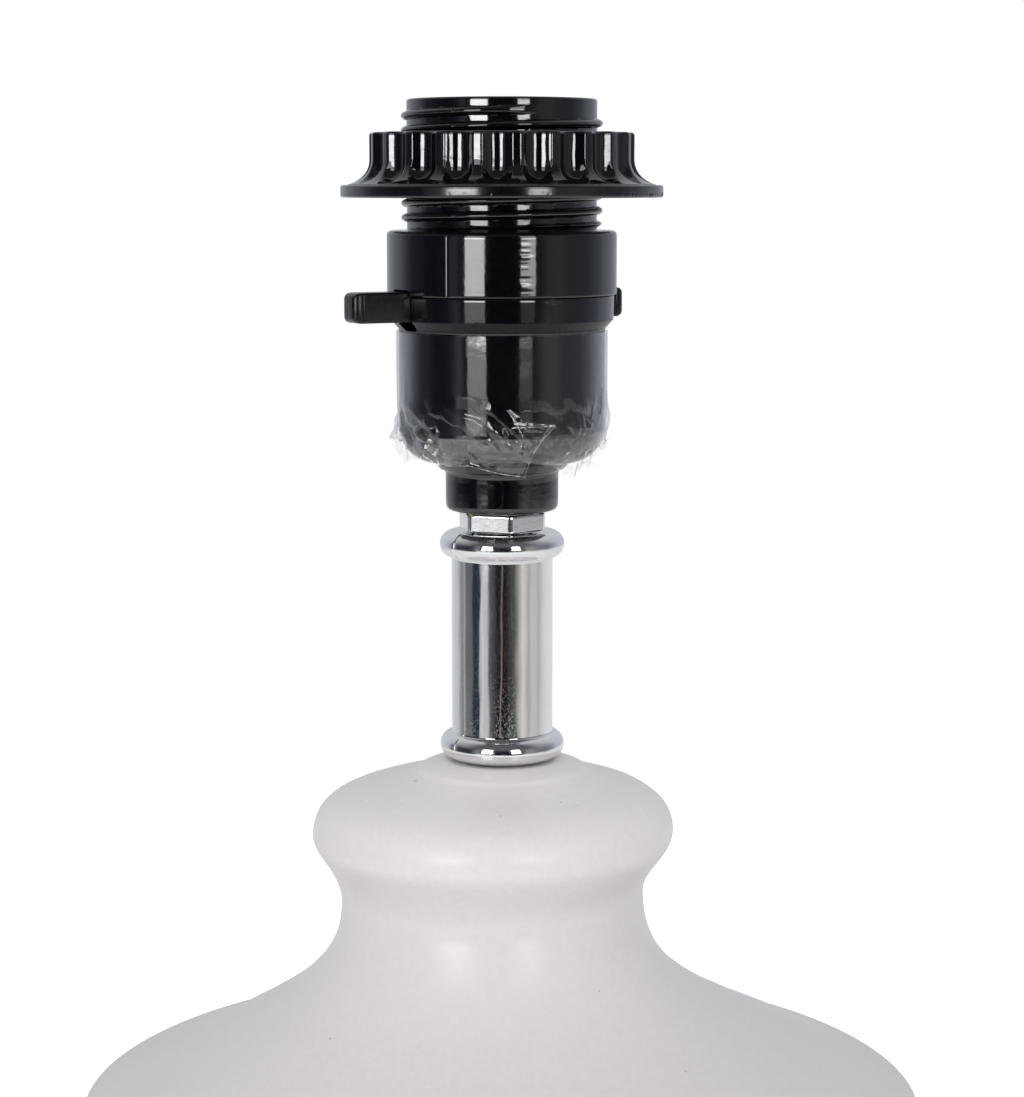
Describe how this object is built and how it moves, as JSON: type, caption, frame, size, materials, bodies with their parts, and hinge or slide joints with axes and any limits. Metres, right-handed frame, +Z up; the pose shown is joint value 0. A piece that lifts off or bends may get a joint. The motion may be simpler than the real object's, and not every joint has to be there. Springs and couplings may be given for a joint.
{
  "type": "ceramic table lamp base",
  "caption": "Turned ceramic table lamp base with a chromed neck and a black push-through bulb socket, whose fluted shade ring clamps a shade",
  "frame": {"origin": "on the surface the lamp stands on, under the middle of its base", "axes": "+Z up along the stem, +X along the switch bar towards the end it is pushed out of, +Y towards the cord inlet at the back"},
  "size_m": [0.1456, 0.1456, 0.3438],
  "materials": {
    "felt": "pressed felt, matt",
    "satin_glaze": "satin pale grey-white glaze with faint specks",
    "grommet_plastic": "moulded",
    "bright_zinc": "bright zinc plate",
    "plated_steel": "dull zinc plate",
    "chrome": "polished",
    "black_phenolic": "gloss moulded phenolic",
    "ring_phenolic": "gloss moulded phenolic",
    "bar_phenolic": "gloss moulded phenolic",
    "brass": "stamped",
    "nickel": "nickel plate",
    "shell_aluminium": "rolled sheet",
    "insulating_fibre": "moulded fibre",
    "clear_film": "clear crinkled film, bare"
  },
  "bodies": {
    "base": {"base_pad": "felt", "ceramic_body": "satin_glaze", "cord_grommet": "grommet_plastic", "stem_pipe": "bright_zinc", "base_washer": "plated_steel", "lock_washer": "plated_steel", "base_nut": "bright_zinc", "neck_tube": "chrome", "neck_washer": "bright_zinc", "hex_lock_nut": "bright_zinc", "socket_cap": "black_phenolic", "cap_bushing": "brass", "label_film": "clear_film", "socket_shell": "black_phenolic", "screw_shell": "shell_aluminium", "insulator_disc": "insulating_fibre", "centre_contact": "brass", "contact_rivet": "brass", "shell_rivet_left": "brass", "shell_rivet_right": "brass", "assembly_screw_front": "plated_steel", "assembly_screw_back": "plated_steel", "line_terminal": "brass", "load_contact": "brass", "neutral_terminal": "nickel", "line_screw": "brass", "neutral_screw": "nickel", "detent_spring": "plated_steel"},
    "switch": {"switch_bar": "bar_phenolic", "bridge_contact": "brass"},
    "ring": {"shade_ring": "ring_phenolic"}
  },
  "joints": [
    {"name": "switch_push", "type": "slide", "parent": "base", "child": "switch", "axis": [1, 0, 0], "range_m": [0, 0.0059]},
    {"name": "ring_travel", "type": "slide", "parent": "base", "child": "ring", "axis": [0, 0, 1], "range_m": [-0.0051, 0.017]}
  ]
}
